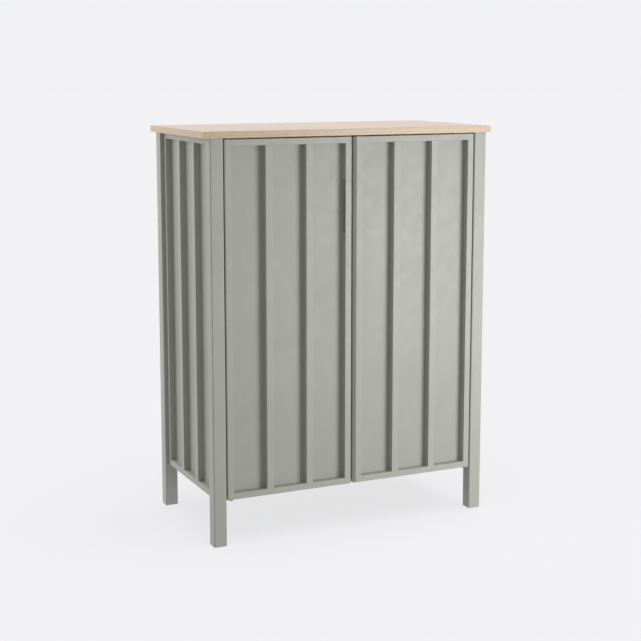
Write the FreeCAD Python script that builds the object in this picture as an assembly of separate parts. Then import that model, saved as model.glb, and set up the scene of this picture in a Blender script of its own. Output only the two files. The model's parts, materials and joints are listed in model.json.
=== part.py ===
import FreeCAD, Part

# Shoe cabinet with two inset doors, planted strips and an overhanging top board.
# Millimetres. +Z is up, +X is to the right and the doors face -Y.
# The origin is on the floor, under the middle of the cabinet.

import math
import os

V = FreeCAD.Vector
X, Y, Z = V(1, 0, 0), V(0, 1, 0), V(0, 0, 1)

# ---- overall sizes -------------------------------------------------------------------------
overall_width = 850.0
overall_depth = 430.0
overall_height = 1100.0

# ---- top board, legs and feet --------------------------------------------------------------
board_thickness = 18.0
board_overhang = 16.0           # past the legs, on the left and on the right
board_edge_radius = 1.5
leg_size = 36.0
leg_edge_radius = 3.0
glide_thickness = 2.5
glide_radius = 12.0
glide_spigot_radius = 3.0
glide_spigot_length = 12.0
glide_edge_radius = 0.8

# ---- sides ---------------------------------------------------------------------------------
floor_clearance = 126.0         # from the floor to the underside of the carcass
side_panel_thickness = 11.0
side_strip_thickness = 15.0
stile_width = 18.0
rail_height = 17.0
batten_width = 20.0
strip_edge_radius = 1.0

# ---- inner carcass -------------------------------------------------------------------------
bottom_panel_thickness = 18.0
back_panel_thickness = 5.0
back_panel_inset = 10.0         # from the back of the legs to the back of the panel
back_groove_depth = 6.0
top_rail_height = 40.0
top_rail_thickness = 20.0
shelf_count = 4
shelf_thickness = 16.0
shelf_front_setback = 8.0       # from the door's back face

# ---- doors ---------------------------------------------------------------------------------
door_panel_thickness = 10.0
door_strip_thickness = 20.0
door_gap = 3.0                  # to the legs and to the top board
door_drop = 1.0                 # the door's bottom edge stands this far above the carcass's
door_swing_clearance = 1.0      # between a turning door's back corner and the carcass
leaf_half_gap = 7.0             # from the middle of the cabinet to a leaf's free edge
meeting_strip_reach = 6.4       # how far the meeting strip stands out of the right leaf
meeting_strip_setback = 1.0
meeting_strip_thickness = 26.0
meeting_strip_bevel = 6.0       # its front edge slopes back towards the gap
groove_length = 147.0
groove_depth = 9.0
groove_lip = 3.0                # from the door's front face to the groove
groove_land = 2.0               # from the groove to the door's panel
groove_above_middle = 290.0     # from the middle of the door to the middle of the groove

# ---- pivot hinges --------------------------------------------------------------------------
pivot_from_front = 8.0          # from the door's front face to the pin
pivot_plate_thickness = 2.0
pivot_plate_width = 10.0
pivot_pin_radius = 3.0
pivot_pin_length = 11.0
pivot_collar_radius = 4.2
bush_radius = 4.5
bush_length = 15.0
bush_wall = 1.5                 # wood between a bush and the hinge stile's inner edge
pivot_running_clearance = 0.05
top_plate_length = 50.0
bottom_plate_reach = 32.0       # how far the bottom plate reaches under the bottom panel
top_plate_screws = (0.5, 0.86)  # shares of the plate's length
bottom_plate_screws = (0.3, 0.66)

# ---- fastenings ----------------------------------------------------------------------------
pin_radius = 2.5
pin_collar_radius = 3.5
pin_collar_thickness = 1.2
pin_in_wall = 8.0
pin_reach = 8.0
pin_front_setback = 37.0        # from the shelf's front edge to the front pins
pin_rear_setback = 38.0
spare_hole_pitch = 32.0
dowel_radius = 3.0
dowel_length = 24.0
dowel_rows = 5
rail_dowel_inset = 10.0         # from the edges of the back top rail to its dowels
carcass_screw = {"shank": 2.0, "head": 4.0, "length": 42.0}
back_screw = {"shank": 1.5, "head": 3.0, "length": 18.0}
fitting_screw = {"shank": 1.75, "head": 3.3, "length": 13.0}
strike_screw = {"shank": 1.5, "head": 2.9, "length": 8.0}
screw_tip_radius = 0.3
screw_cover = 6.0               # wood above the tips of the screws in the top board
screw_end_margin = 37.0         # from a panel's end to the last screw in its row
back_screws_in_row = 4
floor_screws_in_row = 3
wall_hole_from_end = 73.0       # from the end of the back top rail to a wall hole
wall_hole_radius = 3.25
wall_hole_to_screw = 80.0       # from a wall hole to the next screw in the top board
spacer_radius = 9.0
spacer_nose_radius = 6.0

# ---- catch ---------------------------------------------------------------------------------
catch_from_middle = 40.0
catch_body = (30.0, 20.0, 14.0)
catch_ear = (9.0, 4.0)          # width and thickness
catch_ear_setback = 3.0
magnet_stand_out = 2.0          # how far a magnet's face stands out of its housing
magnet = (24.0, 12.0, 8.0)
catch_air_gap = 0.2
strike_plate = (36.0, 1.5, 12.0)
bumper_radius = 5.0
bumper_from_middle = 30.0
bumper_clearance = 0.2

fixing_clearance = 0.05         # round a screw, dowel, pin or bush in its hole
well_clearance = 0.5            # round a screw's head in its well
bush_floor_clearance = 1.0      # between a pivot pin's end and the bottom of its bush
collar_clearance = 0.1          # between a pivot's collar and the door's bush
shelf_side_clearance = 1.5
shelf_back_clearance = 2.0
housing_clearance = 0.2         # round the back panel's edge in its groove

# ---- derived places ------------------------------------------------------------------------
front = -overall_depth / 2
back = overall_depth / 2
leg_outer = overall_width / 2 - board_overhang
leg_inner = leg_outer - leg_size
leg_front_end = front + leg_size
leg_back_start = back - leg_size
board_bottom = overall_height - board_thickness
wall_inner = leg_inner
wall_outer = wall_inner + side_panel_thickness
strip_outer = wall_outer + side_strip_thickness

door_thickness = door_panel_thickness + door_strip_thickness
door_back = front + door_thickness
door_recess = front + door_strip_thickness
door_outer = leg_inner - door_gap
door_bottom = floor_clearance + door_drop
door_top = board_bottom - door_gap

groove_width = door_strip_thickness - groove_lip - groove_land
pivot_x = door_outer - stile_width + bush_wall + bush_radius
pivot_y = front + pivot_from_front
back_corner_reach = math.hypot(door_outer - pivot_x, door_back - pivot_y)

carcass_front = pivot_y + back_corner_reach + door_swing_clearance
floor_top = floor_clearance + bottom_panel_thickness
back_panel_back = back - back_panel_inset
back_panel_front = back_panel_back - back_panel_thickness
rail_bottom = board_bottom - top_rail_height
rail_middle = (rail_bottom + board_bottom) / 2
wall_hole_x = wall_inner - wall_hole_from_end
top_screw_head = overall_height - screw_cover - carcass_screw["length"]

shelf_front = door_back + shelf_front_setback
shelf_back = back_panel_front - shelf_back_clearance
shelf_half_width = wall_inner - shelf_side_clearance
shelf_level = (board_bottom - floor_top - shelf_count * shelf_thickness) / (shelf_count + 1)
shelf_bottoms = [
    floor_top + shelf_level + i * (shelf_level + shelf_thickness) for i in range(shelf_count)
]
pin_rows = (shelf_front + pin_front_setback, shelf_back - pin_rear_setback)

parts = {}


# ---- helpers -------------------------------------------------------------------------------
def block(x, y, z):
    """A box between two places along each axis, given as pairs."""
    low = V(min(x), min(y), min(z))
    size = V(max(x), max(y), max(z)) - low
    return Part.makeBox(size.x, size.y, size.z, low)


def rounded(shape, radius, chosen):
    """Rounds the straight edges for which chosen(middle, direction) is true."""
    edges = []
    for edge in shape.Edges:
        middle = edge.CenterOfMass
        direction = (edge.Vertexes[-1].Point - edge.Vertexes[0].Point).normalize()
        if chosen(middle, direction):
            edges.append(edge)
    return shape.makeFillet(radius, edges)


def along(direction, axis):
    return abs(direction.dot(axis)) > 0.999


def at(value, place):
    return abs(value - place) < 1e-6


def turned(shape, position, direction):
    """Stands a shape that was made along +Z at a position, pointing in a direction."""
    turn = FreeCAD.Rotation(Z, direction)
    placed = shape.copy()
    placed.Placement = FreeCAD.Placement(position, turn)
    return placed


def rod(radius, length, position, direction):
    return Part.makeCylinder(radius, length, position, direction)


def mirrored(shape):
    """The same shape on the other side of the cabinet."""
    return shape.mirror(V(0, 0, 0), X)


def screw_shape(kind, grow=0.0):
    """A countersunk screw along +Z with its head's face at zero, or the hole for one."""
    head_height = kind["head"] - kind["shank"]
    head = Part.makeCone(kind["head"] + grow, kind["shank"] + grow, head_height)
    tip_height = kind["shank"]
    shank = Part.makeCylinder(kind["shank"] + grow, kind["length"] - tip_height + grow)
    tip_place = V(0, 0, kind["length"] - tip_height + grow)
    tip = Part.makeCone(kind["shank"] + grow, screw_tip_radius + grow, tip_height, tip_place)
    return head.fuse([shank, tip]).removeSplitter()


def drive(kind, group, position, direction, *pieces):
    """Adds a screw to a group and cuts its hole in the pieces that it goes through."""
    group.append(turned(screw_shape(kind), position, direction))
    hole = turned(screw_shape(kind, fixing_clearance), position, direction)
    for name in pieces:
        parts[name] = parts[name].cut(hole)


def spread(count, half_span):
    """Places in an even row from one end of a span to the other."""
    return [half_span * (2 * i / (count - 1) - 1) for i in range(count)]


def bore(name, radius, length, position, direction):
    parts[name] = parts[name].cut(rod(radius, length, position, direction))


# ---- top board and legs --------------------------------------------------------------------
def make_top_board():
    half = overall_width / 2
    board = block((-half, half), (front, back), (board_bottom, overall_height))
    return rounded(board, board_edge_radius, lambda middle, direction: True)


def make_leg(y):
    """A left leg that stands between two places along Y."""
    leg = block((-leg_outer, -leg_inner), y, (glide_thickness, board_bottom))
    leg = rounded(leg, leg_edge_radius, lambda middle, direction: along(direction, Z))
    middle_x = -(leg_outer + leg_inner) / 2
    spigot = rod(
        glide_spigot_radius + fixing_clearance,
        glide_spigot_length + fixing_clearance,
        V(middle_x, sum(y) / 2, glide_thickness),
        Z,
    )
    return leg.cut(spigot)


def make_glide(x, y):
    disc = rod(glide_radius, glide_thickness, V(x, y, 0), Z)
    rim = [edge for edge in disc.Edges if at(edge.CenterOfMass.z, 0)]
    disc = disc.makeFillet(glide_edge_radius, rim)
    spigot = rod(glide_spigot_radius, glide_spigot_length, V(x, y, glide_thickness), Z)
    return disc.fuse(spigot).removeSplitter()


def add_legs():
    front_leg = make_leg((front, leg_front_end))
    groove = block(
        (-leg_inner - back_groove_depth, -leg_inner),
        (back_panel_front - housing_clearance, back_panel_back + housing_clearance),
        (floor_clearance, board_bottom),
    )
    rear_leg = make_leg((leg_back_start, back)).cut(groove)
    parts["front_left_leg"] = front_leg
    parts["front_right_leg"] = mirrored(front_leg)
    parts["rear_left_leg"] = rear_leg
    parts["rear_right_leg"] = mirrored(rear_leg)
    middle_x = (leg_outer + leg_inner) / 2
    middle_y = (leg_back_start + back) / 2
    parts["foot_glides"] = [
        make_glide(side * middle_x, end * middle_y) for side in (-1, 1) for end in (-1, 1)
    ]


# ---- planted strips ------------------------------------------------------------------------
def strip(x, y, z, long_axis, face_axis, face_place):
    """A planted strip with its two long outer edges rounded."""
    def outer_edge(middle, direction):
        return along(direction, long_axis) and at(middle.dot(face_axis), face_place)

    return rounded(block(x, y, z), strip_edge_radius, outer_edge)


def batten_places(start, end):
    """The near edges of two battens that leave three equal bays between two stiles."""
    bay = (end - start - 2 * batten_width) / 3
    return start + bay, start + 2 * bay + batten_width


def add_sides():
    y = (leg_front_end, leg_back_start)
    z = (floor_clearance, board_bottom)
    x = (-strip_outer, -wall_outer)
    inner_z = (floor_clearance + rail_height, board_bottom - rail_height)
    inner_y = (y[0] + stile_width, y[1] - stile_width)
    first, second = batten_places(*inner_y)
    pieces = {
        "panel": block((-wall_outer, -wall_inner), y, z),
        "front_stile": strip(x, (y[0], inner_y[0]), z, Z, X, -strip_outer),
        "rear_stile": strip(x, (inner_y[1], y[1]), z, Z, X, -strip_outer),
        "top_rail": strip(x, inner_y, (inner_z[1], z[1]), Y, X, -strip_outer),
        "bottom_rail": strip(x, inner_y, (z[0], inner_z[0]), Y, X, -strip_outer),
        "front_batten": strip(x, (first, first + batten_width), inner_z, Z, X, -strip_outer),
        "rear_batten": strip(x, (second, second + batten_width), inner_z, Z, X, -strip_outer),
    }
    for name, shape in pieces.items():
        parts["left_side_" + name] = shape
        parts["right_side_" + name] = mirrored(shape)


# ---- inner carcass -------------------------------------------------------------------------
def add_carcass():
    wide = (-wall_inner, wall_inner)
    parts["bottom_panel"] = block(
        wide, (carcass_front, back_panel_front), (floor_clearance, floor_top)
    )
    panel_half = leg_inner + back_groove_depth - housing_clearance
    parts["back_panel"] = block(
        (-panel_half, panel_half),
        (back_panel_front, back_panel_back),
        (floor_clearance, board_bottom),
    )
    parts["front_top_rail"] = block(
        wide, (carcass_front, carcass_front + top_rail_thickness), (rail_bottom, board_bottom)
    )
    parts["back_top_rail"] = block(
        wide, (back_panel_front - top_rail_thickness, back_panel_front), (rail_bottom, board_bottom)
    )
    names = ["shelf_%d" % (i + 1) for i in range(shelf_count)]
    for name, bottom in zip(names, shelf_bottoms):
        shelf = block(
            (-shelf_half_width, shelf_half_width),
            (shelf_front, shelf_back),
            (bottom, bottom + shelf_thickness),
        )
        parts[name] = rounded(
            shelf,
            strip_edge_radius,
            lambda middle, direction: along(direction, X) and at(middle.y, shelf_front),
        )


def add_shelf_pins():
    """Four pins under each shelf, and spare holes above and below each pin."""
    pins = []
    holes = []
    for bottom in shelf_bottoms:
        for y in pin_rows:
            z = bottom - pin_radius
            inner_end = V(-wall_inner - pin_in_wall, y, z)
            pin = rod(pin_radius, pin_in_wall + pin_reach, inner_end, X)
            collar = rod(pin_collar_radius, pin_collar_thickness, V(-wall_inner, y, z), X)
            pin = pin.fuse(collar).removeSplitter()
            pins += [pin, mirrored(pin)]
            for step in (-1, 0, 1):
                place = V(-wall_inner, y, z + step * spare_hole_pitch)
                hole_depth = pin_in_wall + fixing_clearance
                holes.append(rod(pin_radius + fixing_clearance, hole_depth, place, -X))
    parts["left_side_panel"] = parts["left_side_panel"].cut(holes)
    parts["right_side_panel"] = parts["right_side_panel"].cut([mirrored(h) for h in holes])
    parts["shelf_pins"] = pins


def add_dowels():
    """Dowels from the legs into the side panels and into the back top rail."""
    dowels = []

    def peg(middle, direction, *pieces):
        dowel = rod(dowel_radius, dowel_length, middle - direction * (dowel_length / 2), direction)
        hole_length = dowel_length + 2 * fixing_clearance
        start = middle - direction * (hole_length / 2)
        dowels.append(dowel)
        for name in pieces:
            bore(name, dowel_radius + fixing_clearance, hole_length, start, direction)

    height = board_bottom - floor_clearance
    for side, sign in (("left", -1), ("right", 1)):
        for i in range(dowel_rows):
            z = floor_clearance + height * (i + 0.5) / dowel_rows
            x = sign * (wall_inner + side_panel_thickness / 2)
            peg(V(x, leg_front_end, z), Y, "front_%s_leg" % side, side + "_side_panel")
            peg(V(x, leg_back_start, z), Y, "rear_%s_leg" % side, side + "_side_panel")
        y = back_panel_front - top_rail_thickness / 2
        for z in (rail_bottom + rail_dowel_inset, board_bottom - rail_dowel_inset):
            peg(V(sign * wall_inner, y, z), X, "rear_%s_leg" % side, "back_top_rail")
    parts["frame_dowels"] = dowels


def add_carcass_screws():
    screws = []
    rail_y = max(carcass_front + top_rail_thickness / 2, leg_front_end + stile_width / 2)
    floor_z = (floor_clearance + floor_top) / 2
    floor_row = spread(floor_screws_in_row, leg_back_start - screw_end_margin)
    for side, sign in (("left", -1), ("right", 1)):
        wall = side + "_side_panel"
        inward = X * -sign
        drive(carcass_screw, screws, V(sign * wall_outer, rail_y, rail_middle), inward,
              wall, "front_top_rail")
        for y in floor_row:
            place = V(sign * wall_outer, y, floor_z)
            drive(carcass_screw, screws, place, inward, wall, "bottom_panel")
    for rail, y in (
        ("front_top_rail", carcass_front + top_rail_thickness / 2),
        ("back_top_rail", back_panel_front - top_rail_thickness / 2),
    ):
        for x in spread(3, wall_hole_x - wall_hole_to_screw):
            well = top_screw_head - rail_bottom
            bore(rail, carcass_screw["head"] + well_clearance, well, V(x, y, rail_bottom), Z)
            drive(carcass_screw, screws, V(x, y, top_screw_head), Z, rail, "top_board")
    parts["carcass_screws"] = screws


def add_back_fixings():
    """Screws round the back panel, and the two wall fixing holes with their spacers."""
    screws = []
    for x in spread(back_screws_in_row, wall_inner - screw_end_margin):
        drive(back_screw, screws, V(x, back_panel_back, rail_middle), -Y,
              "back_panel", "back_top_rail")
        drive(back_screw, screws, V(x, back_panel_back, (floor_clearance + floor_top) / 2), -Y,
              "back_panel", "bottom_panel")
    parts["back_panel_screws"] = screws
    spacers = []
    for x in (-wall_hole_x, wall_hole_x):
        rail_front = back_panel_front - top_rail_thickness
        bore("back_top_rail", wall_hole_radius, top_rail_thickness, V(x, rail_front, rail_middle), Y)
        nose_hole = spacer_nose_radius + fixing_clearance
        nose_start = V(x, back_panel_front, rail_middle)
        bore("back_panel", nose_hole, back_panel_thickness, nose_start, Y)
        nose = rod(spacer_nose_radius, back_panel_thickness, nose_start, Y)
        body = rod(spacer_radius, back_panel_inset, V(x, back_panel_back, rail_middle), Y)
        through = rod(wall_hole_radius, back_panel_thickness + back_panel_inset, nose_start, Y)
        spacers.append(nose.fuse(body).removeSplitter().cut(through))
    parts["wall_spacers"] = spacers


# ---- doors ---------------------------------------------------------------------------------
def finger_groove(stile_inner):
    """A round-ended slot, cut into the face of the meeting stile that looks at the panel."""
    middle_z = (door_bottom + door_top) / 2 + groove_above_middle
    radius = groove_width / 2
    y = front + groove_lip + radius
    half = groove_length / 2 - radius
    slot = block(
        (stile_inner, stile_inner + groove_depth),
        (y - radius, y + radius),
        (middle_z - half, middle_z + half),
    )
    ends = [
        rod(radius, groove_depth, V(stile_inner, y, middle_z + end * half), X) for end in (-1, 1)
    ]
    return slot.fuse(ends).removeSplitter()


def make_door(free_edge_radius):
    """A left door's wooden pieces, with its outer edge at the left."""
    x = (-door_outer, -leaf_half_gap)
    y = (front, door_recess)
    z = (door_bottom, door_top)
    inner_x = (x[0] + stile_width, x[1] - stile_width)
    inner_z = (z[0] + rail_height, z[1] - rail_height)
    first, second = batten_places(*inner_x)

    def upright(left, right, height):
        return strip((left, right), y, height, Z, Y, front)

    hinge_stile = rounded(
        block((x[0], inner_x[0]), y, z),
        leg_edge_radius,
        lambda middle, direction: along(direction, Z) and at(middle.y, front) and at(middle.x, x[0]),
    )
    meeting_stile = rounded(
        block((inner_x[1], x[1]), y, z),
        free_edge_radius,
        lambda middle, direction: along(direction, Z) and at(middle.y, front) and at(middle.x, x[1]),
    )
    return {
        "panel": block(x, (door_recess, door_back), z),
        "hinge_stile": hinge_stile,
        "meeting_stile": meeting_stile.cut(finger_groove(inner_x[1])),
        "top_rail": strip(inner_x, y, (inner_z[1], z[1]), X, Y, front),
        "bottom_rail": strip(inner_x, y, (z[0], inner_z[0]), X, Y, front),
        "outer_batten": upright(first, first + batten_width, inner_z),
        "inner_batten": upright(second, second + batten_width, inner_z),
    }


def make_bush(end, direction):
    """A blind bearing bush, with its open end at a door's edge."""
    bush = rod(bush_radius, bush_length, end, direction)
    hole_radius = pivot_pin_radius + pivot_running_clearance
    hole_length = pivot_pin_length + bush_floor_clearance
    return bush.cut(rod(hole_radius, hole_length, end, direction))


def make_leaf(free_edge_radius):
    """A left door with its bushes and its strike plate, and the holes for them."""
    pieces = make_door(free_edge_radius)
    top_end = V(-pivot_x, pivot_y, door_top)
    bottom_end = V(-pivot_x, pivot_y, door_bottom)
    for end, direction in ((top_end, -Z), (bottom_end, Z)):
        hole = rod(bush_radius + fixing_clearance, bush_length + fixing_clearance, end, direction)
        pieces["hinge_stile"] = pieces["hinge_stile"].cut(hole)
    pieces["pivot_bushes"] = Part.makeCompound([make_bush(top_end, -Z), make_bush(bottom_end, Z)])

    strike_x = -catch_from_middle
    strike_z = rail_bottom - catch_body[2] / 2
    width, thickness, height = strike_plate
    plate = block(
        (strike_x - width / 2, strike_x + width / 2),
        (door_back, door_back + thickness),
        (strike_z - height / 2, strike_z + height / 2),
    )
    head = V(strike_x, door_back + thickness, strike_z)
    hole = turned(screw_shape(strike_screw, fixing_clearance), head, -Y)
    pieces["strike_plate"] = plate.cut(hole)
    pieces["strike_screw"] = turned(screw_shape(strike_screw), head, -Y)
    pieces["panel"] = pieces["panel"].cut(hole)
    return pieces


def make_meeting_strip():
    """The strip on the right leaf's free edge, with its front edge bevelled."""
    free_edge = leaf_half_gap - meeting_strip_reach
    strip_front = front + meeting_strip_setback
    bar = block(
        (free_edge, leaf_half_gap),
        (strip_front, strip_front + meeting_strip_thickness),
        (door_bottom, door_top),
    )
    corner = [
        edge for edge in bar.Edges
        if at(edge.CenterOfMass.x, free_edge) and at(edge.CenterOfMass.y, strip_front)
    ]
    return bar.makeChamfer(meeting_strip_bevel, corner)


def add_doors():
    for name, shape in make_leaf(leg_edge_radius).items():
        parts["left_door_" + name] = shape
    for name, shape in make_leaf(strip_edge_radius).items():
        parts["right_door_" + name] = mirrored(shape)
    parts["right_door_meeting_strip"] = make_meeting_strip()


# ---- hinges and catches --------------------------------------------------------------------
def make_pivot(plate, plate_face, direction):
    """A plate with its pin: a collar keeps the door off the plate, then the pin goes on."""
    lift = door_gap - pivot_plate_thickness if direction.z < 0 else door_drop
    collar_height = lift - collar_clearance
    base = V(-pivot_x, pivot_y, plate_face)
    collar = rod(pivot_collar_radius, collar_height, base, direction)
    pin = rod(pivot_pin_radius, lift + pivot_pin_length, base, direction)
    return plate.fuse([collar, pin]).removeSplitter()


def add_pivots():
    half = pivot_plate_width / 2
    nose = V(-pivot_x, pivot_y, 0)

    top_face = board_bottom - pivot_plate_thickness
    top = block(
        (-pivot_x, -pivot_x + top_plate_length), (pivot_y - half, pivot_y + half),
        (top_face, board_bottom),
    )
    top = top.fuse(rod(half, pivot_plate_thickness, nose + Z * top_face, Z))
    top = make_pivot(top, top_face, -Z)

    bottom_face = floor_clearance
    under = bottom_face - pivot_plate_thickness
    bottom = block(
        (-pivot_x - half, -pivot_x + half), (pivot_y, carcass_front + bottom_plate_reach),
        (under, bottom_face),
    )
    bottom = bottom.fuse(rod(half, pivot_plate_thickness, nose + Z * under, Z))
    bottom = make_pivot(bottom, bottom_face, Z)

    parts["top_pivots"] = Part.makeCompound([top, mirrored(top)])
    parts["bottom_pivots"] = Part.makeCompound([bottom, mirrored(bottom)])


def add_catches():
    """Magnetic catches under the front top rail, and the bumpers that the doors close on."""
    width, depth, height = catch_body
    ear_width, ear_thickness = catch_ear
    face = door_back + strike_plate[1] + catch_air_gap
    body_front = face + magnet_stand_out
    housings = []
    magnets = []
    for sign in (-1, 1):
        x = sign * catch_from_middle
        body = block(
            (x - width / 2, x + width / 2),
            (body_front, body_front + depth),
            (rail_bottom - height, rail_bottom),
        )
        ears = block(
            (x - width / 2 - ear_width, x + width / 2 + ear_width),
            (body_front + catch_ear_setback, body_front + depth - catch_ear_setback),
            (rail_bottom - ear_thickness, rail_bottom),
        )
        body = body.fuse(ears).removeSplitter()
        magnet_z = rail_bottom - height / 2
        magnet_block = block(
            (x - magnet[0] / 2, x + magnet[0] / 2),
            (face, face + magnet[1]),
            (magnet_z - magnet[2] / 2, magnet_z + magnet[2] / 2),
        )
        housings.append(body.cut(magnet_block))
        magnets.append(magnet_block)
    parts["catch_housings"] = Part.makeCompound(housings)
    parts["catch_magnets"] = Part.makeCompound(magnets)
    bumpers = []
    thickness = carcass_front - door_back - bumper_clearance
    for x in (-bumper_from_middle, bumper_from_middle):
        for z in (rail_middle, (floor_clearance + floor_top) / 2):
            bumpers.append(rod(bumper_radius, thickness, V(x, carcass_front, z), -Y))
    parts["door_bumpers"] = bumpers


def add_fitting_screws():
    screws = []
    top_face = board_bottom - pivot_plate_thickness
    under = floor_clearance - pivot_plate_thickness
    magnet_face = door_back + strike_plate[1] + catch_air_gap
    body_middle = magnet_face + magnet_stand_out + catch_body[1] / 2
    ear_middle = (catch_body[0] + catch_ear[0]) / 2
    for sign in (-1, 1):
        for share in top_plate_screws:
            place = V(sign * (pivot_x - share * top_plate_length), pivot_y, top_face)
            drive(fitting_screw, screws, place, Z, "top_pivots", "top_board")
        for share in bottom_plate_screws:
            place = V(sign * pivot_x, carcass_front + share * bottom_plate_reach, under)
            drive(fitting_screw, screws, place, Z, "bottom_pivots", "bottom_panel")
        for end in (-1, 1):
            x = sign * catch_from_middle + end * ear_middle
            drive(fitting_screw, screws, V(x, body_middle, rail_bottom - catch_ear[1]), Z,
                  "catch_housings", "front_top_rail")
    parts["fitting_screws"] = screws


def write_parts():
    os.makedirs("parts", exist_ok=True)
    for name, shape in parts.items():
        if isinstance(shape, list):
            shape = Part.makeCompound(shape)
        if not shape.isValid():
            raise ValueError(name + " is not a valid shape")
        shape.exportStep(os.path.join("parts", name + ".step"))


parts["top_board"] = make_top_board()
add_legs()
add_sides()
add_carcass()
add_shelf_pins()
add_dowels()
add_carcass_screws()
add_back_fixings()
add_doors()
add_pivots()
add_catches()
add_fitting_screws()
write_parts()
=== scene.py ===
import json
import math

import bmesh
import bpy
from mathutils import Matrix, Vector

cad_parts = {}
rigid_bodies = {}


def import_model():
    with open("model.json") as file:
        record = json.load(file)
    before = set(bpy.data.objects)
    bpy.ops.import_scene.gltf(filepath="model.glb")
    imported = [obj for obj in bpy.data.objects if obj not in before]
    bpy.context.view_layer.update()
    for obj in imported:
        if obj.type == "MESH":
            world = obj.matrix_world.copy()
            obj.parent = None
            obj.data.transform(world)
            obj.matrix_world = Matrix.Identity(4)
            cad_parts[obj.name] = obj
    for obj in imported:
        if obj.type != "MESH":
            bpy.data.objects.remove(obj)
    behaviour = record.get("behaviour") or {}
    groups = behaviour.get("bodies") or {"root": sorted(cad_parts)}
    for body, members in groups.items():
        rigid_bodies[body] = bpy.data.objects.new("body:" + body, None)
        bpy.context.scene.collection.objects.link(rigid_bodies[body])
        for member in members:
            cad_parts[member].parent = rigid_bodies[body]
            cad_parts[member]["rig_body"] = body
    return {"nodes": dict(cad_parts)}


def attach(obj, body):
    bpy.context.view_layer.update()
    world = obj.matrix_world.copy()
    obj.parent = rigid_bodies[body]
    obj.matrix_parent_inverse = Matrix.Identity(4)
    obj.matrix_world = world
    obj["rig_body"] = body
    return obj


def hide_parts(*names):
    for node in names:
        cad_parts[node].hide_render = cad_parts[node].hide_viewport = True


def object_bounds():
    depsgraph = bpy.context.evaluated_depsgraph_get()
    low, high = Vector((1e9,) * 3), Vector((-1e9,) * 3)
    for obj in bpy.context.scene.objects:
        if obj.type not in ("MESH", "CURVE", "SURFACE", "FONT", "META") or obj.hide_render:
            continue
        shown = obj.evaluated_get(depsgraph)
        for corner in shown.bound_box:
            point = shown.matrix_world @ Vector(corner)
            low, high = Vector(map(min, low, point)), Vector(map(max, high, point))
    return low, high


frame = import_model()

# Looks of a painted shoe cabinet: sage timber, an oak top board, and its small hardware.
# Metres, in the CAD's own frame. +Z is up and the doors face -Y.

cad_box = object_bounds()

MM = 0.001
nodes = frame["nodes"]

# ---- mesh tolerances -----------------------------------------------------------------------
MERGE_DISTANCE = 0.002 * MM
FLAT_ANGLE = math.radians(0.5)         # faces nearer than this to one plane become one face
SMOOTH_ANGLE = math.radians(32)        # steeper edges stay sharp, or are eased
SHORTEST_EASED_EDGE = 3.5 * MM

# ---- finishes, as linear colours -----------------------------------------------------------
SAGE = (0.450, 0.460, 0.408)
SAGE_ON_BOARD = (0.428, 0.437, 0.389)
SAGE_WORN = (0.60, 0.60, 0.53)
SAGE_INSIDE = (0.455, 0.465, 0.405)
OAK_PALE = (0.78, 0.600, 0.425)
OAK_DEEP = (0.595, 0.411, 0.253)
OAK_PORE = (0.36, 0.235, 0.135)
BEECH_PALE = (0.78, 0.60, 0.40)
BEECH_DEEP = (0.62, 0.44, 0.27)
BEECH_CLOUD = (0.72, 0.52, 0.33)
BACKDROP = (0.8796, 0.8796, 0.8963)
FLOOR_SHADES = (0.298, 0.298, 0.304), (0.302, 0.302, 0.308)
FLOOR_GLOW = 0.795
AMBIENT = (0.33, 0.33, 0.33)

# How each axis of a pattern is scaled: a small value draws the pattern out along the grain.
GRAIN_UPRIGHT = (1.0, 1.0, 0.04)
GRAIN_ACROSS = (0.04, 1.0, 1.0)
GRAIN_FRONT_TO_BACK = (1.0, 0.04, 1.0)
BOARD_UPRIGHT = (1.0, 1.0, 0.3)
BOARD_ACROSS = (0.3, 1.0, 1.0)
ROLLED_ALONG_Z = (1.0, 1.0, 0.15)
ROLLED_ALONG_X = (0.08, 1.0, 1.0)
TURNED_ALONG_Z = (0.1, 0.1, 1.0)
EVEN = (1.0, 1.0, 1.0)

# ---- lamps and camera ----------------------------------------------------------------------
# Name, place, width, height, watts, colour, and whether it shows in reflections.
SOFT_BOXES = [
    ("key_soft_box", (1.12, -1.78, 0.58), 0.9, 1.2, 24.5, (1.0, 0.99, 0.98), True),
    ("left_rear_soft_box", (-1.9, 2.3, 1.3), 1.8, 2.0, 64.0, (1.0, 1.0, 1.0), False),
    ("overhead_soft_box", (0.2, 0.4, 3.2), 2.0, 1.6, 24.0, (1.0, 1.0, 1.0), False),
]
SUN_ENERGY = 0.95
SUN_ANGLE = math.radians(60)
SUN_AIM = (-0.12, 0.2, -1.0)
CAMERA_PLACE = (-1.6373, -3.4957, 1.2641)
CAMERA_AZIMUTH = math.radians(25.115)
CAMERA_PITCH = math.radians(8.666)     # downwards
CAMERA_LENS = 77.233
CAMERA_SENSOR = 36.0
CAMERA_SHIFT = -0.07


# ---- node helpers --------------------------------------------------------------------------
def put(tree, kind, sockets=None, **settings):
    """Adds a node, with its settings, and with its sockets set to values or wired."""
    made = tree.nodes.new(kind)
    for name, value in settings.items():
        setattr(made, name, value)
    for key, value in (sockets or {}).items():
        if isinstance(value, bpy.types.NodeSocket):
            tree.links.new(value, made.inputs[key])
        else:
            made.inputs[key].default_value = value
    return made


def reckon(tree, operation, *values, clamp=False):
    """A Math node's result."""
    made = put(tree, "ShaderNodeMath", dict(enumerate(values)), operation=operation)
    made.use_clamp = clamp
    return made.outputs[0]


def remap(tree, value, low, high, to_low=0.0, to_high=1.0):
    sockets = {
        "Value": value, "From Min": low, "From Max": high, "To Min": to_low, "To Max": to_high
    }
    return put(tree, "ShaderNodeMapRange", sockets).outputs["Result"]


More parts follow.
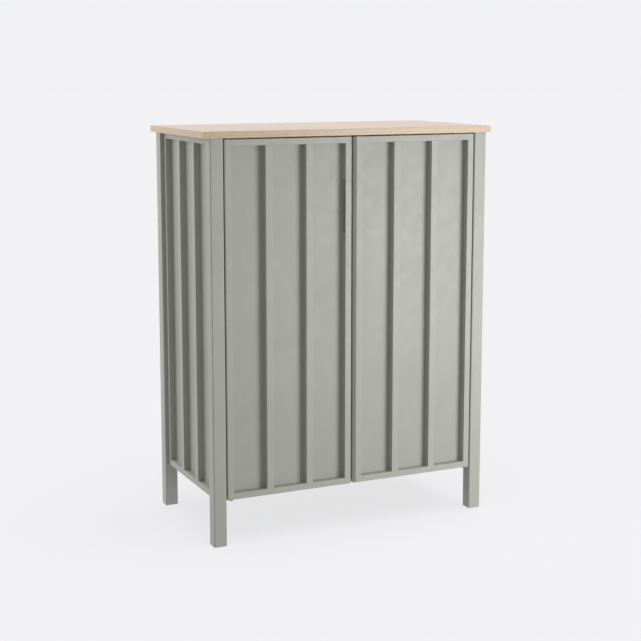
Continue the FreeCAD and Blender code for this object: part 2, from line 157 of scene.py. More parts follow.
def blend(tree, share, first, second):
    """A colour between two colours."""
    def colour(value):
        return value if isinstance(value, bpy.types.NodeSocket) else (*value, 1.0)

    sockets = {0: share, 6: colour(first), 7: colour(second)}
    return put(tree, "ShaderNodeMix", sockets, data_type="RGBA").outputs[2]


def noise(tree, vector, scale, detail=2.0, roughness=0.5, distortion=0.0):
    sockets = {
        "Vector": vector, "Scale": scale, "Detail": detail,
        "Roughness": roughness, "Distortion": distortion,
    }
    return put(tree, "ShaderNodeTexNoise", sockets).outputs["Fac"]


def stretched(tree, vector, factors):
    sockets = {0: vector, 1: factors}
    return put(tree, "ShaderNodeVectorMath", sockets, operation="MULTIPLY").outputs[0]


def new_group(name, inputs, outputs):
    """A shader node group, with its input sockets' outputs and its output sockets' inputs."""
    group = bpy.data.node_groups.new(name, "ShaderNodeTree")
    for label, kind, value in inputs:
        socket = group.interface.new_socket(label, in_out="INPUT", socket_type=kind)
        if value is not None:
            socket.default_value = value
    for label, kind in outputs:
        group.interface.new_socket(label, in_out="OUTPUT", socket_type=kind)
    start = group.nodes.new("NodeGroupInput").outputs
    end = group.nodes.new("NodeGroupOutput").inputs
    return group, start, end


# ---- shared shader groups ------------------------------------------------------------------
NUMBER, VECTOR = "NodeSocketFloat", "NodeSocketVector"


def make_rubbed_edge():
    """How far a finish is rubbed thin along the edges, in uneven patches."""
    group, start, end = new_group(
        "rubbed_edge",
        [("Vector", VECTOR, None), ("Reach", NUMBER, 0.0015), ("Patch Scale", NUMBER, 45.0)],
        [("Rub", NUMBER)],
    )
    rounded = put(group, "ShaderNodeBevel", {"Radius": start["Reach"]}, samples=4)
    surface = put(group, "ShaderNodeNewGeometry").outputs["Normal"]
    facing = put(
        group, "ShaderNodeVectorMath", {0: rounded.outputs[0], 1: surface}, operation="DOT_PRODUCT"
    ).outputs["Value"]
    edge = remap(group, reckon(group, "SUBTRACT", 1.0, facing), 0.01, 0.16)
    patches = remap(group, noise(group, start["Vector"], start["Patch Scale"], 3.0), 0.40, 0.66)
    group.links.new(reckon(group, "MULTIPLY", edge, patches), end["Rub"])
    return group


def make_paint_coat():
    """A sprayed satin coat: slow drift of tone, fine stipple, and the timber's grain under it."""
    group, start, end = new_group(
        "paint_coat",
        [
            ("Vector", VECTOR, None), ("Grain Run", VECTOR, None), ("Grain Scale", NUMBER, 260.0),
            ("Grain Depth", NUMBER, 0.5), ("Stipple Scale", NUMBER, 1100.0),
        ],
        [("Tone", NUMBER), ("Sheen", NUMBER), ("Height", NUMBER)],
    )
    place = start["Vector"]
    run = stretched(group, place, start["Grain Run"])
    drift = noise(group, place, 4.0, 3.0, 0.55)
    grain = noise(group, run, start["Grain Scale"], 4.0, 0.62, 0.3)
    pores = remap(group, noise(group, run, 620.0, 2.0, 0.5), 0.60, 0.72)
    stipple = noise(group, place, start["Stipple Scale"], 2.0, 0.5)
    slow = noise(group, place, 38.0, 2.0, 0.5)
    tone = reckon(
        group, "ADD",
        reckon(group, "MULTIPLY", drift, 0.62),
        reckon(group, "ADD", reckon(group, "MULTIPLY", slow, 0.20),
               reckon(group, "MULTIPLY", grain, 0.18)),
    )
    group.links.new(tone, end["Tone"])
    group.links.new(
        reckon(group, "ADD", reckon(group, "MULTIPLY", slow, 0.6),
               reckon(group, "MULTIPLY", stipple, 0.4)),
        end["Sheen"],
    )
    timber = reckon(group, "SUBTRACT", grain, reckon(group, "MULTIPLY", pores, 0.6))
    height = reckon(
        group, "ADD",
        reckon(group, "MULTIPLY", timber, start["Grain Depth"]),
        reckon(group, "MULTIPLY", stipple, 0.30),
    )
    group.links.new(height, end["Height"])
    return group


def make_oak_figure():
    """Solid oak in edge-jointed staves: growth rings, fibre and open pores, all along X."""
    log_length = 7.0            # staves are cut from anywhere along this much of a log
    heart_sideways = 0.075      # how far apart the hearts of the staves' rings lie, across
    heart_height = 1.035        # the lowest heart, under the board
    heart_rise = 0.035
    slow_sway, quick_sway = 0.055, 0.0055
    late_wood = 2.2             # how sharply each ring darkens towards its outside
    joint_edges = (0.4955, 0.4985)      # shares of a stave's width, from its middle to its joint
    group, start, end = new_group(
        "oak_figure",
        [
            ("Vector", VECTOR, None), ("Stave Width", NUMBER, 0.0717),
            ("Ring Scale", NUMBER, 150.0), ("Pore Scale", NUMBER, 950.0),
        ],
        [("Figure", NUMBER), ("Pores", NUMBER), ("Stave Tone", NUMBER), ("Height", NUMBER)],
    )
    parts = put(group, "ShaderNodeSeparateXYZ", {0: start["Vector"]}).outputs
    count = reckon(group, "DIVIDE", parts["Y"], start["Stave Width"])
    stave = reckon(group, "FLOOR", reckon(group, "ADD", count, 0.5))
    random = put(group, "ShaderNodeTexWhiteNoise", {"W": stave}, noise_dimensions="1D")
    shifts = put(group, "ShaderNodeSeparateColor", {0: random.outputs["Color"]}).outputs
    along = reckon(group, "ADD", parts["X"], reckon(group, "MULTIPLY", shifts[0], log_length))
    middle = reckon(group, "MULTIPLY", stave, start["Stave Width"])
    across = reckon(group, "SUBTRACT", parts["Y"], middle)
    across = reckon(
        group, "ADD", across,
        reckon(group, "MULTIPLY", reckon(group, "SUBTRACT", shifts[1], 0.5), heart_sideways),
    )
    deep = reckon(
        group, "SUBTRACT", parts["Z"],
        reckon(group, "ADD", heart_height, reckon(group, "MULTIPLY", shifts[2], heart_rise)),
    )
    log = put(group, "ShaderNodeCombineXYZ", {0: along, 1: across, 2: deep}).outputs[0]
    sway = noise(group, stretched(group, log, (1.0, 5.0, 5.0)), 2.1, 2.0, 0.5)
    wander = reckon(group, "MULTIPLY", reckon(group, "SUBTRACT", sway, 0.5), slow_sway)
    waver = noise(group, stretched(group, log, (1.0, 9.0, 9.0)), 14.0, 2.0, 0.5)
    quiver = reckon(group, "MULTIPLY", reckon(group, "SUBTRACT", waver, 0.5), quick_sway)
    bent = reckon(group, "ADD", across, reckon(group, "ADD", wander, quiver))
    reach = reckon(
        group, "SQRT",
        reckon(group, "ADD", reckon(group, "MULTIPLY", bent, bent),
               reckon(group, "MULTIPLY", deep, deep)),
    )
    ring = reckon(group, "FRACT", reckon(group, "MULTIPLY", reach, start["Ring Scale"]))
    late = reckon(group, "POWER", ring, late_wood)
    fibre = noise(group, stretched(group, log, (0.035, 1.0, 1.0)), 900.0, 3.0, 0.6)
    figure = reckon(
        group, "ADD", reckon(group, "MULTIPLY", late, 0.55), reckon(group, "MULTIPLY", fibre, 0.45)
    )
    dashes = noise(group, stretched(group, log, (0.045, 1.0, 1.0)), start["Pore Scale"], 1.0, 0.4)
    early = reckon(group, "SUBTRACT", 1.0, reckon(group, "MULTIPLY", ring, 0.75))
    pores = reckon(group, "MULTIPLY", remap(group, dashes, 0.58, 0.70), early)
    share = reckon(group, "FRACT", reckon(group, "ADD", count, 0.5))
    nearness = reckon(group, "ABSOLUTE", reckon(group, "SUBTRACT", share, 0.5))
    joint = remap(group, nearness, *joint_edges)
    group.links.new(figure, end["Figure"])
    dark_spots = reckon(group, "MAXIMUM", pores, reckon(group, "MULTIPLY", joint, 0.5))
    group.links.new(dark_spots, end["Pores"])
    group.links.new(random.outputs["Value"], end["Stave Tone"])
    sunk = reckon(group, "ADD", pores, reckon(group, "MULTIPLY", joint, 0.8))
    group.links.new(
        reckon(group, "SUBTRACT", reckon(group, "MULTIPLY", fibre, 0.3), sunk), end["Height"]
    )
    return group


def make_fine_lines():
    """Close lines along one direction, as on rolled metal or a moulded face."""
    group, start, end = new_group(
        "fine_lines",
        [("Vector", VECTOR, None), ("Run", VECTOR, None), ("Scale", NUMBER, 2500.0)],
        [("Lines", NUMBER), ("Clouds", NUMBER)],
    )
    run = stretched(group, start["Vector"], start["Run"])
    group.links.new(noise(group, run, start["Scale"], 3.0, 0.6), end["Lines"])
    group.links.new(noise(group, start["Vector"], 160.0, 3.0, 0.6), end["Clouds"])
    return group


rubbed_edge = make_rubbed_edge()
paint_coat = make_paint_coat()
oak_figure = make_oak_figure()
fine_lines = make_fine_lines()


# ---- materials -----------------------------------------------------------------------------
def new_material(name):
    """A material with its shader and its place on the piece, before anything is wired."""
    material = bpy.data.materials.new(name)
    material.use_nodes = True
    tree = material.node_tree
    shader = tree.nodes["Principled BSDF"]
    coordinates = put(tree, "ShaderNodeTexCoord").outputs["Object"]
    mapping = put(tree, "ShaderNodeMapping", {"Vector": coordinates})
    return material, tree, shader, mapping.outputs[0]


def grouped(tree, group, sockets):
    """Places a shared group in a tree and gives its outputs."""
    return put(tree, "ShaderNodeGroup", sockets, node_tree=group).outputs


def bumped(tree, shader, height, strength, distance):
    """Feeds a height through a Bump node into the shader's normal."""
    sockets = {"Height": height, "Strength": strength, "Distance": distance}
    bump = put(tree, "ShaderNodeBump", sockets)
    tree.links.new(bump.outputs[0], shader.inputs["Normal"])


def shades(colour, spread):
    """A darker and a paler shade of one colour."""
    return tuple(c * (1 - spread) for c in colour), tuple(c * (1 + spread) for c in colour)


def paint(name, colour, run, grain_depth, roughness=0.46):
    """Satin paint on timber whose grain runs along the axis where run is small."""
    gloss_spread = 0.06
    rubbed_share, rubbed_gloss = 0.30, 0.10
    material, tree, shader, place = new_material(name)
    coat = grouped(tree, paint_coat, {
        "Vector": place, "Grain Run": run, "Grain Depth": grain_depth,
    })
    rub = grouped(tree, rubbed_edge, {"Vector": place, "Reach": 1.6 * MM})["Rub"]
    dark, pale = shades(colour, 0.035)
    tone = remap(tree, coat["Tone"], 0.36, 0.64)
    body = blend(tree, tone, dark, pale)
    worn = reckon(tree, "MULTIPLY", rub, rubbed_share)
    tree.links.new(blend(tree, worn, body, SAGE_WORN), shader.inputs["Base Color"])
    rough, smooth = roughness + gloss_spread, roughness - gloss_spread
    gloss = remap(tree, coat["Sheen"], 0.35, 0.65, rough, smooth)
    gloss = reckon(tree, "SUBTRACT", gloss, reckon(tree, "MULTIPLY", rub, rubbed_gloss))
    tree.links.new(gloss, shader.inputs["Roughness"])
    bumped(tree, shader, coat["Height"], 0.35, 0.12 * MM)
    return material


def oak_board_material():
    """Lacquered oak, with a thinner coat on the board's edges than on its top."""
    smoothest, roughest = 0.34, 0.44
    edge_coat, top_coat, coat_roughness = 0.1, 0.5, 0.22
    material, tree, shader, place = new_material("oak_board")
    oak = grouped(tree, oak_figure, {"Vector": place})
    rub = grouped(tree, rubbed_edge, {"Vector": place, "Reach": 2.0 * MM})["Rub"]
    body = blend(tree, remap(tree, oak["Figure"], 0.12, 0.78), OAK_PALE, OAK_DEEP)
    warmer = blend(tree, 0.5, body, OAK_PALE)
    body = blend(tree, remap(tree, oak["Stave Tone"], 0.0, 1.0, 0.0, 0.45), body, warmer)
    body = blend(tree, reckon(tree, "MULTIPLY", oak["Pores"], 0.55), body, OAK_PORE)
    body = blend(tree, reckon(tree, "MULTIPLY", rub, 0.25), body, OAK_PALE)
    tree.links.new(body, shader.inputs["Base Color"])
    gloss = remap(tree, oak["Figure"], 0.0, 1.0, smoothest, roughest)
    tree.links.new(gloss, shader.inputs["Roughness"])
    facing = put(tree, "ShaderNodeNewGeometry").outputs["Normal"]
    upward = put(tree, "ShaderNodeSeparateXYZ", {0: facing}).outputs["Z"]
    coat = remap(tree, upward, 0.3, 0.9, edge_coat, top_coat)
    tree.links.new(coat, shader.inputs["Coat Weight"])
    shader.inputs["Coat Roughness"].default_value = coat_roughness
    bumped(tree, shader, oak["Height"], 0.45, 0.10 * MM)
    return material


def beech_material():
    """Bare beech for the dowels, with fine lines and a little cloudiness."""
    material, tree, shader, place = new_material("beech_dowel")
    lines = grouped(tree, fine_lines, {"Vector": place, "Run": TURNED_ALONG_Z, "Scale": 900.0})
    body = blend(tree, lines["Lines"], BEECH_PALE, BEECH_DEEP)
    body = blend(tree, remap(tree, lines["Clouds"], 0.3, 0.9), body, BEECH_CLOUD)
    tree.links.new(body, shader.inputs["Base Color"])
    tree.links.new(remap(tree, lines["Clouds"], 0.3, 0.7, 0.60, 0.75), shader.inputs["Roughness"])
    bumped(tree, shader, lines["Lines"], 0.4, 0.05 * MM)
    return material


def metal(name, colour, roughness, run, bare=0.86):
    """Plated steel with fine rolling lines, a little cloudiness and brighter rubbed edges."""
    material, tree, shader, place = new_material(name)
    lines = grouped(tree, fine_lines, {"Vector": place, "Run": run})
    rub = grouped(tree, rubbed_edge, {
        "Vector": place, "Reach": 0.5 * MM, "Patch Scale": 220.0,
    })["Rub"]
    dark, pale = shades(colour, 0.10)
    body = blend(tree, remap(tree, lines["Clouds"], 0.3, 0.7), dark, pale)
    body = blend(tree, reckon(tree, "MULTIPLY", rub, 0.5), body, (bare, bare, bare))
    tree.links.new(body, shader.inputs["Base Color"])
    gloss = remap(tree, lines["Lines"], 0.3, 0.7, roughness - 0.07, roughness + 0.09)
    tree.links.new(gloss, shader.inputs["Roughness"])
    shader.inputs["Metallic"].default_value = 1.0
    bumped(tree, shader, lines["Lines"], 0.25, 0.02 * MM)
    return material


def moulded(name, colour, roughness, spread=0.06):
    """A moulded plastic, rubber or ferrite with a fine matt texture."""
    material, tree, shader, place = new_material(name)
    lines = grouped(tree, fine_lines, {"Vector": place, "Run": EVEN})
    dark, pale = shades(colour, spread)
    rub = grouped(tree, rubbed_edge, {
        "Vector": place, "Reach": 0.4 * MM, "Patch Scale": 200.0,
    })["Rub"]
    body = blend(tree, remap(tree, lines["Clouds"], 0.3, 0.7), dark, pale)
    rubbed_pale = shades(colour, 0.25)[1]
    body = blend(tree, reckon(tree, "MULTIPLY", rub, 0.3), body, rubbed_pale)
    tree.links.new(body, shader.inputs["Base Color"])
    gloss = remap(tree, lines["Lines"], 0.3, 0.7, roughness - 0.06, roughness + 0.06)
    tree.links.new(gloss, shader.inputs["Roughness"])
    bumped(tree, shader, lines["Lines"], 0.3, 0.03 * MM)
    return material


sage_upright = paint("sage_paint_upright", SAGE, GRAIN_UPRIGHT, 0.6)
sage_across = paint("sage_paint_across", SAGE, GRAIN_ACROSS, 0.6)
sage_deep = paint("sage_paint_front_to_back", SAGE, GRAIN_FRONT_TO_BACK, 0.6)
sage_board = paint("sage_paint_on_board", SAGE_ON_BOARD, BOARD_UPRIGHT, 0.15)
inside_board = paint("inner_paint_on_board", SAGE_INSIDE, BOARD_ACROSS, 0.15, 0.52)
inside_timber = paint("inner_paint_on_rail", SAGE_INSIDE, GRAIN_ACROSS, 0.5, 0.52)
oak_board = oak_board_material()
beech = beech_material()
zinc = metal("zinc_plated_screw", (0.72, 0.72, 0.70), 0.30, ROLLED_ALONG_Z)
nickel = metal("nickel_plated_plate", (0.66, 0.66, 0.65), 0.27, ROLLED_ALONG_X)
blackened = metal("blackened_hinge_steel", (0.060, 0.058, 0.056), 0.42, ROLLED_ALONG_X, 0.30)
nylon = moulded("off_white_nylon", (0.78, 0.78, 0.74), 0.42)
grey_nylon = moulded("grey_glide_nylon", (0.22, 0.225, 0.205), 0.55)
ferrite = moulded("dark_ferrite", (0.045, 0.045, 0.047), 0.62, 0.2)
silicone = moulded("milky_silicone", (0.76, 0.76, 0.74), 0.35)


# ---- timber pieces -------------------------------------------------------------------------
def joined_copy(node):
    """A copy of a CAD node's mesh as one closed surface of flat faces, as a bmesh."""
    surface = bmesh.new()
    surface.from_mesh(nodes[node].data)
    bmesh.ops.remove_doubles(surface, verts=surface.verts, dist=MERGE_DISTANCE)
    bmesh.ops.dissolve_limit(
        surface, angle_limit=FLAT_ANGLE, verts=surface.verts, edges=surface.edges
    )
    return surface


def finished(surface, name, material):
    """Makes a bmesh into an object that is smooth over its rounds and sharp at other edges."""
    mesh = bpy.data.meshes.new(name)
    surface.to_mesh(mesh)
    surface.free()
    mesh.materials.append(material)
    mesh.shade_smooth()
    mesh.set_sharp_from_angle(angle=SMOOTH_ANGLE)
    piece = bpy.data.objects.new(name, mesh)
    bpy.context.scene.collection.objects.link(piece)
    return piece


def stand_in(piece, node):
    """Sets the piece's body from the CAD node that it replaces, and hides that node."""
    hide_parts(node)
    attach(piece, nodes[node]["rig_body"])


def eased(node, material, width):
    """Replaces a CAD node by a copy whose sharp edges are eased, as sanding leaves them."""
    surface = joined_copy(node)
    sharp = [
        edge for edge in surface.edges
        if edge.is_manifold
        and edge.calc_face_angle() > SMOOTH_ANGLE
        and edge.calc_length() > SHORTEST_EASED_EDGE
    ]
    bmesh.ops.bevel(
        surface, geom=sharp, offset=width, offset_type="OFFSET", segments=2,
        profile=0.5, affect="EDGES", clamp_overlap=True,
    )
    piece = finished(surface, node + "_finished", material)
    weighted = piece.modifiers.new("Weighted Normal", "WEIGHTED_NORMAL")
    weighted.keep_sharp = True
    stand_in(piece, node)


# ---- repeated hardware ---------------------------------------------------------------------
def new_tree(name, sizes):
    """A Geometry Nodes tree that takes places, and has a named input for each size."""
    tree = bpy.data.node_groups.new(name, "GeometryNodeTree")
    tree.interface.new_socket("Geometry", in_out="OUTPUT", socket_type="NodeSocketGeometry")
    tree.interface.new_socket("Geometry", in_out="INPUT", socket_type="NodeSocketGeometry")
    for label, value in sizes.items():
        kind = "NodeSocketInt" if isinstance(value, int) else "NodeSocketFloat"
        tree.interface.new_socket(label, in_out="INPUT", socket_type=kind).default_value = value
    tree.interface.new_socket("Profile", in_out="INPUT", socket_type="NodeSocketObject")
    tree.interface.new_socket("Material", in_out="INPUT", socket_type="NodeSocketMaterial")
    start = tree.nodes.new("NodeGroupInput").outputs
    end = tree.nodes.new("NodeGroupOutput").inputs
    return tree, start, end


def named_value(tree, name, kind):
    """A named value that each point of a mesh carries."""
    sockets = {"Name": name}
    return put(tree, "GeometryNodeInputNamedAttribute", sockets, data_type=kind).outputs[0]


def xyz(tree, x=0.0, y=0.0, z=0.0):
    return put(tree, "ShaderNodeCombineXYZ", {0: x, 1: y, 2: z}).outputs[0]


def lifted(tree, geometry, height):
    sockets = {"Geometry": geometry, "Translation": xyz(tree, z=height)}
    return put(tree, "GeometryNodeTransform", sockets).outputs[0]


def set_out(tree, start, end, shape):
    """Sets the shape on every place, along the place's aim, each with its own twist."""
    aim = named_value(tree, "aim", "FLOAT_VECTOR")
    pointed = put(tree, "FunctionNodeAlignRotationToVector", {"Vector": aim}, axis="Z").outputs[0]
    random = put(tree, "FunctionNodeRandomValue", {3: math.tau, "Seed": start["Seed"]})
    twist = put(
        tree, "FunctionNodeAxisAngleToRotation",
        {"Axis": (0.0, 0.0, 1.0), "Angle": random.outputs[1]},
    ).outputs[0]
    turn = put(
        tree, "FunctionNodeRotateRotation", {0: pointed, 1: twist}, rotation_space="LOCAL"
    ).outputs[0]
    sockets = {"Points": start["Geometry"], "Instance": shape, "Rotation": turn}
    copies = put(tree, "GeometryNodeInstanceOnPoints", sockets).outputs[0]
    solid = put(tree, "GeometryNodeRealizeInstances", {0: copies}).outputs[0]
    finish = put(tree, "GeometryNodeSetMaterial", {0: solid, "Material": start["Material"]})
    tree.links.new(finish.outputs[0], end[0])


def make_screw_tree():
    """Countersunk screws with a cross recess, a core, a rolled thread and a point."""
    tree, start, end = new_tree("countersunk_screws", {
        "Head Radius": 4 * MM, "Shank Radius": 2 * MM, "Length": 42 * MM,
        "Thread Pitch": 2 * MM, "Recess Share": 0.62, "Seed": 1,
    })
    head, shank, length = start["Head Radius"], start["Shank Radius"], start["Length"]
    depth = reckon(tree, "SUBTRACT", head, shank)
    cone = put(tree, "GeometryNodeMeshCone", {
        "Vertices": 28, "Radius Top": shank, "Radius Bottom": head, "Depth": depth,
    }).outputs[0]
    reach = reckon(tree, "MULTIPLY", reckon(tree, "MULTIPLY", head, start["Recess Share"]), 2.0)
    slot = reckon(tree, "MULTIPLY", head, 0.22)
    recess = [
        put(tree, "GeometryNodeMeshCube", {"Size": xyz(tree, *size)}).outputs[0]
        for size in ((reach, slot, head), (slot, reach, reckon(tree, "MULTIPLY", head, 0.9)))
    ]
    cut = put(
        tree, "GeometryNodeMeshBoolean", {0: cone, 1: recess[0]},
        operation="DIFFERENCE", solver="EXACT",
    )
    tree.links.new(recess[1], cut.inputs[1])
    core = reckon(tree, "MULTIPLY", shank, 0.74)
    core_start = reckon(tree, "MULTIPLY", depth, 0.8)
    core_end = reckon(tree, "SUBTRACT", length, shank)
    core_length = reckon(tree, "SUBTRACT", core_end, core_start)
    core_middle = reckon(tree, "MULTIPLY", reckon(tree, "ADD", core_start, core_end), 0.5)
    rod = put(tree, "GeometryNodeMeshCylinder", {
        "Vertices": 16, "Radius": core, "Depth": core_length,
    }).outputs[0]
    point_base = reckon(tree, "MULTIPLY", core, 0.98)
    point = put(tree, "GeometryNodeMeshCone", {
        "Vertices": 16, "Radius Top": 0.1 * MM, "Radius Bottom": point_base, "Depth": shank,
    }).outputs[0]
    point_start = reckon(tree, "SUBTRACT", core_end, 0.05 * MM)
    thread_start = reckon(tree, "MULTIPLY", depth, 1.8)
    thread_length = reckon(tree, "SUBTRACT", core_end, thread_start)
    turns = reckon(tree, "DIVIDE", thread_length, start["Thread Pitch"])
    thread_radius = reckon(tree, "MULTIPLY", shank, 0.78)
    line = put(tree, "GeometryNodeCurveSpiral", {
        "Resolution": 14, "Rotations": turns, "Start Radius": thread_radius,
        "End Radius": thread_radius, "Height": thread_length,
    }).outputs[0]
    ridge = put(tree, "GeometryNodeCurvePrimitiveCircle", {
        "Resolution": 3, "Radius": reckon(tree, "MULTIPLY", shank, 0.2),
    }).outputs[0]
    thread = put(tree, "GeometryNodeCurveToMesh", {
        "Curve": line, "Profile Curve": ridge, "Scale": 1.0, "Fill Caps": True,
    }).outputs[0]
    whole = put(tree, "GeometryNodeJoinGeometry", {0: cut.outputs[0]})
    for piece in (lifted(tree, rod, core_middle), lifted(tree, point, point_start),
                  lifted(tree, thread, thread_start)):
        tree.links.new(piece, whole.inputs[0])
    set_out(tree, start, end, whole.outputs[0])
    return tree


def make_turned_tree():
    """Round pieces turned to a profile, plain or fluted."""
    tree, start, end = new_tree("turned_pieces", {
        "Radius": 3 * MM, "Length": 24 * MM, "Flutes": 16, "Flute Depth": 0.0, "Seed": 1,
    })
    line = put(tree, "GeometryNodeObjectInfo", {"Object": start["Profile"]}).outputs["Geometry"]
    place = put(tree, "GeometryNodeInputPosition").outputs[0]
    sockets = {0: place, 1: xyz(tree, 1.0, 1.0, start["Length"])}
    long = put(tree, "ShaderNodeVectorMath", sockets, operation="MULTIPLY").outputs[0]
    line = put(tree, "GeometryNodeSetPosition", {"Geometry": line, "Position": long}).outputs[0]
    line = put(tree, "GeometryNodeMeshToCurve", {0: line}).outputs[0]
    inner = reckon(tree, "SUBTRACT", 1.0, start["Flute Depth"])
    outline = put(tree, "GeometryNodeCurveStar", {
        "Points": start["Flutes"], "Inner Radius": inner, "Outer Radius": 1.0,
    }).outputs[0]
    width = reckon(tree, "MULTIPLY", named_value(tree, "turning", "FLOAT"), start["Radius"])
    shape = put(tree, "GeometryNodeCurveToMesh", {
        "Curve": line, "Profile Curve": outline, "Scale": width, "Fill Caps": True,
    }).outputs[0]
    set_out(tree, start, end, shape)
    return tree


def loose_parts(node):
    """The separate solids of a CAD node, each as a list of points."""
    surface = bmesh.new()
    surface.from_mesh(nodes[node].data)
    bmesh.ops.remove_doubles(surface, verts=surface.verts, dist=MERGE_DISTANCE)
    found, seen = [], set()
    for first in surface.verts:
        if first in seen:
            continue
        seen.add(first)
        waiting, points = [first], []
        while waiting:
            vertex = waiting.pop()
            points.append(vertex.co.copy())
            for edge in vertex.link_edges:
                other = edge.other_vert(vertex)
                if other not in seen:
                    seen.add(other)
                    waiting.append(other)
        found.append(points)
    surface.free()
    return found


def seat(points, first_end):
    """The start of a round piece, its aim, its length and its radius."""
    low = Vector(map(min, *points))
    high = Vector(map(max, *points))
    size, centre = high - low, (low + high) / 2
    axis = min(range(3), key=lambda i: abs(size[i - 2] - size[i - 1]))
    ends = []
    for place, sign in ((low[axis], 1), (high[axis], -1)):
        start, aim = centre.copy(), Vector((0, 0, 0))
        start[axis], aim[axis] = place, sign
        near = [p for p in points if abs(p[axis] - place) < 0.04 * size[axis]]
        width = max((p - centre - aim * (p - centre).dot(aim)).length for p in near)
        ends.append((start, aim, width))
    start, aim, width = max(ends, key=lambda end: round(first_end(*end), 6))
    return start, aim, size[axis], max(size[axis - 2], size[axis - 1]) / 2


def wide_end(start, aim, width):
    return width


def outer_end(start, aim, width):
    return abs(start.x)


def rear_end(start, aim, width):
    return start.y


def profile(name, stations):
    """A line up the Z axis for a turned piece: shares of its length, and of its radius."""
    mesh = bpy.data.meshes.new(name)
    rows = range(len(stations) - 1)
    mesh.from_pydata([(0, 0, z) for z, _ in stations], [(i, i + 1) for i in rows], [])
    turning = mesh.attributes.new("turning", "FLOAT", "POINT")
    turning.data.foreach_set("value", [radius for _, radius in stations])
    return bpy.data.objects.new(name, mesh)


def lay_out(node, tree, material, first_end, **sizes):
    """Replaces a CAD node of like pieces by one mesh, with a detailed piece at each place."""
    seats = [seat(points, first_end) for points in loose_parts(node)]
    mesh = bpy.data.meshes.new(node + "_places")
    mesh.from_pydata([start for start, *_ in seats], [], [])
    aims = mesh.attributes.new("aim", "FLOAT_VECTOR", "POINT")
    aims.data.foreach_set("vector", [value for _, aim, *_ in seats for value in aim])
    holder = bpy.data.objects.new(node + "_places", mesh)
    bpy.context.scene.collection.objects.link(holder)
    modifier = holder.modifiers.new("Layout", "NODES")
    modifier.node_group = tree
    values = {
        "Material": material, "Length": seats[0][2],
        "Radius": seats[0][3], "Head Radius": seats[0][3], **sizes,
    }
    for item in tree.interface.items_tree:
        if item.in_out == "INPUT" and item.name in values:
            modifier[item.identifier] = values[item.name]
    graph = bpy.context.evaluated_depsgraph_get()
    made = bpy.data.meshes.new_from_object(holder.evaluated_get(graph), depsgraph=graph)
    bpy.data.objects.remove(holder)
    surface = bmesh.new()
    surface.from_mesh(made)
    bpy.data.meshes.remove(made)
    stand_in(finished(surface, node + "_finished", material), node)


screws = make_screw_tree()
turned = make_turned_tree()
# Each profile pairs a share of the length, from the start, with a share of the radius.
pin_profile = profile("shelf_pin_profile", [
    (0.0, 0.70), (0.035, 1.0), (0.4999, 1.0), (0.50, 1.32), (0.505, 1.40), (0.568, 1.40),
    (0.575, 1.32), (0.5751, 1.0), (0.955, 1.0), (0.985, 0.88), (1.0, 0.62),
])
dowel_profile = profile("dowel_profile", [
    (0.0, 0.72), (0.05, 0.97), (0.07, 1.0), (0.93, 1.0), (0.95, 0.97), (1.0, 0.72),
])
bumper_profile = profile("bumper_profile", [
    (0.0, 0.97), (0.06, 1.0), (0.30, 1.0), (0.52, 0.95), (0.72, 0.84), (0.88, 0.66),
    (0.97, 0.42), (1.0, 0.15),
])
glide_profile = profile("glide_profile", [
    (0.0, 0.86), (0.014, 0.93), (0.034, 0.98), (0.055, 1.0), (0.150, 1.0), (0.166, 0.985),
    (0.1722, 0.95), (0.1724, 0.25), (0.96, 0.25), (1.0, 0.19),
])

# A name's ending, the finish, and how far its sharp edges are eased, in millimetres.
TIMBER = [
    ("_leg", sage_upright, 0.5), ("_stile", sage_upright, 0.4), ("_batten", sage_upright, 0.4),
    ("_meeting_strip", sage_upright, 0.4),
    ("_door_top_rail", sage_across, 0.4), ("_door_bottom_rail", sage_across, 0.4),
    ("_side_top_rail", sage_deep, 0.4), ("_side_bottom_rail", sage_deep, 0.4),
    ("_side_panel", sage_board, 0.3), ("_door_panel", sage_board, 0.3),
    ("bottom_panel", inside_board, 0.4), ("back_panel", inside_board, 0.2),
    ("shelf_1", inside_board, 0.3), ("shelf_2", inside_board, 0.3),
    ("shelf_3", inside_board, 0.3), ("shelf_4", inside_board, 0.3),
    ("front_top_rail", inside_timber, 0.4), ("back_top_rail", inside_timber, 0.4),
    ("top_board", oak_board, 0.3),
]
# A fitting, its finish, and how far its sharp edges are eased, in millimetres.
FITTINGS = {
    "top_pivots": (blackened, 0.25), "bottom_pivots": (blackened, 0.25),
    "left_door_pivot_bushes": (nylon, 0.2), "right_door_pivot_bushes": (nylon, 0.2),
    "left_door_strike_plate": (nickel, 0.2), "right_door_strike_plate": (nickel, 0.2),
    "catch_housings": (nylon, 0.5), "catch_magnets": (ferrite, 0.3),
    "wall_spacers": (nylon, 0.4),
}

for name in sorted(nodes):
    for ending, material, width in TIMBER:
        if name.endswith(ending):
            eased(name, material, width * MM)
            break
for name, (material, width) in FITTINGS.items():
    eased(name, material, width * MM)

lay_out("carcass_screws", screws, zinc, wide_end, **{"Shank Radius": 2.0 * MM, "Seed": 3})
lay_out("back_panel_screws", screws, zinc, wide_end,
        **{"Shank Radius": 1.5 * MM, "Thread Pitch": 1.5 * MM, "Seed": 5})
lay_out("fitting_screws", screws, zinc, wide_end,
        **{"Shank Radius": 1.75 * MM, "Thread Pitch": 1.4 * MM, "Seed": 8})
for side, seed in (("left", 11), ("right", 12)):
    lay_out(side + "_door_strike_screw", screws, zinc, wide_end,
            **{"Shank Radius": 1.5 * MM, "Thread Pitch": 1.2 * MM, "Seed": seed})
lay_out("shelf_pins", turned, nickel, outer_end, Profile=pin_profile, Radius=2.5 * MM)
lay_out("frame_dowels", turned, beech, outer_end, Profile=dowel_profile, **{"Flute Depth": 0.07})
lay_out("door_bumpers", turned, silicone, rear_end, Profile=bumper_profile)
lay_out("foot_glides", turned, grey_nylon, wide_end, Profile=glide_profile)
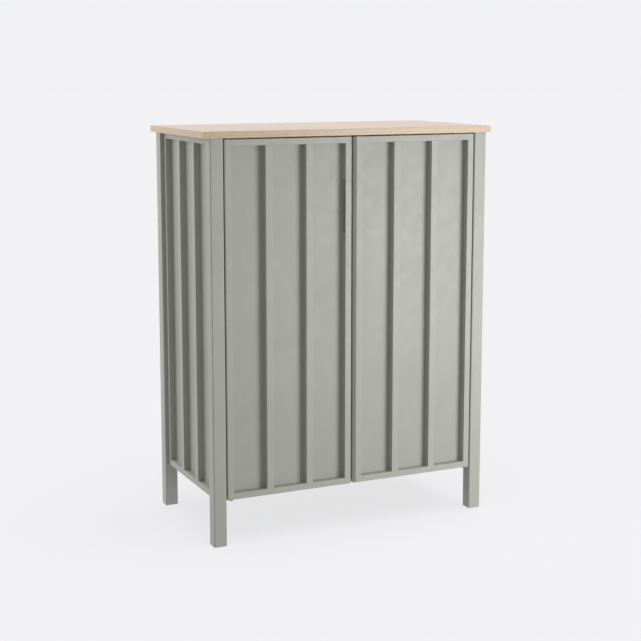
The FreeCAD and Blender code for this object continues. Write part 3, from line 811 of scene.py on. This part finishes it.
for shape_line in (pin_profile, dowel_profile, bumper_profile, glide_profile):
    bpy.data.objects.remove(shape_line)


# ---- stage, light and camera ---------------------------------------------------------------
def make_floor():
    """A wide pale floor, bright mostly by its own glow, so that it meets the backdrop unseen."""
    bpy.ops.mesh.primitive_circle_add(vertices=96, radius=60.0, fill_type="NGON")
    floor = bpy.context.object
    floor.name = "studio_floor"
    material, tree, shader, place = new_material("studio_floor_white")
    grain = noise(tree, place, 3.0, 2.0)
    tree.links.new(blend(tree, grain, *FLOOR_SHADES), shader.inputs["Base Color"])
    shader.inputs["Roughness"].default_value = 1.0
    shader.inputs["Specular IOR Level"].default_value = 0.0
    shader.inputs["Emission Color"].default_value = (*BACKDROP, 1.0)
    shader.inputs["Emission Strength"].default_value = FLOOR_GLOW
    floor.data.materials.append(material)
    floor.visible_diffuse = False
    return floor


floor = make_floor()


def only_for(light, receivers, state):
    """Lights these objects alone, or all objects but these."""
    group = bpy.data.collections.new(light.name + "_receivers")
    for receiver in receivers:
        group.objects.link(receiver)
    for entry in group.collection_objects:
        entry.light_linking.link_state = state
    light.light_linking.receiver_collection = group


def soft_box(name, place, width, height, power, colour, shown):
    """A rectangular soft light that aims at the cabinet, and leaves the floor dark."""
    data = bpy.data.lights.new(name, "AREA")
    data.shape = "RECTANGLE"
    data.size = width
    data.size_y = height
    data.energy = power
    data.color = colour
    light = bpy.data.objects.new(name, data)
    bpy.context.scene.collection.objects.link(light)
    turn = (middle - Vector(place)).to_track_quat("-Z", "Y")
    light.matrix_world = Matrix.LocRotScale(Vector(place), turn, None)
    light.visible_camera = False
    light.visible_glossy = shown
    only_for(light, [floor], "EXCLUDE")


middle = (cad_box[0] + cad_box[1]) / 2
for soft_box_values in SOFT_BOXES:
    soft_box(*soft_box_values)

floor_sun = bpy.data.objects.new("floor_sun", bpy.data.lights.new("floor_sun", "SUN"))
bpy.context.scene.collection.objects.link(floor_sun)
floor_sun.data.energy = SUN_ENERGY
floor_sun.data.angle = SUN_ANGLE
sun_turn = Vector(SUN_AIM).to_track_quat("-Z", "Y")
floor_sun.matrix_world = Matrix.LocRotScale(None, sun_turn, None)
only_for(floor_sun, [floor], "INCLUDE")

world = bpy.data.worlds.new("pale_studio")
bpy.context.scene.world = world
world.use_nodes = True
air = world.node_tree
rays = put(air, "ShaderNodeLightPath").outputs
seen = reckon(air, "MAXIMUM", rays["Is Camera Ray"], rays["Is Glossy Ray"])
surround = blend(air, seen, AMBIENT, BACKDROP)
air.links.new(surround, air.nodes["Background"].inputs["Color"])

camera_data = bpy.data.cameras.new("camera")
camera_data.sensor_width = CAMERA_SENSOR
camera_data.lens = CAMERA_LENS
camera_data.shift_y = CAMERA_SHIFT
camera = bpy.data.objects.new("camera", camera_data)
bpy.context.scene.collection.objects.link(camera)
level = math.cos(CAMERA_PITCH)
view_line = Vector((
    math.sin(CAMERA_AZIMUTH) * level, math.cos(CAMERA_AZIMUTH) * level, -math.sin(CAMERA_PITCH)
))
camera.matrix_world = Matrix.LocRotScale(
    Vector(CAMERA_PLACE), view_line.to_track_quat("-Z", "Y"), None
)
bpy.context.scene.camera = camera
bpy.context.scene.view_settings.view_transform = "Standard"
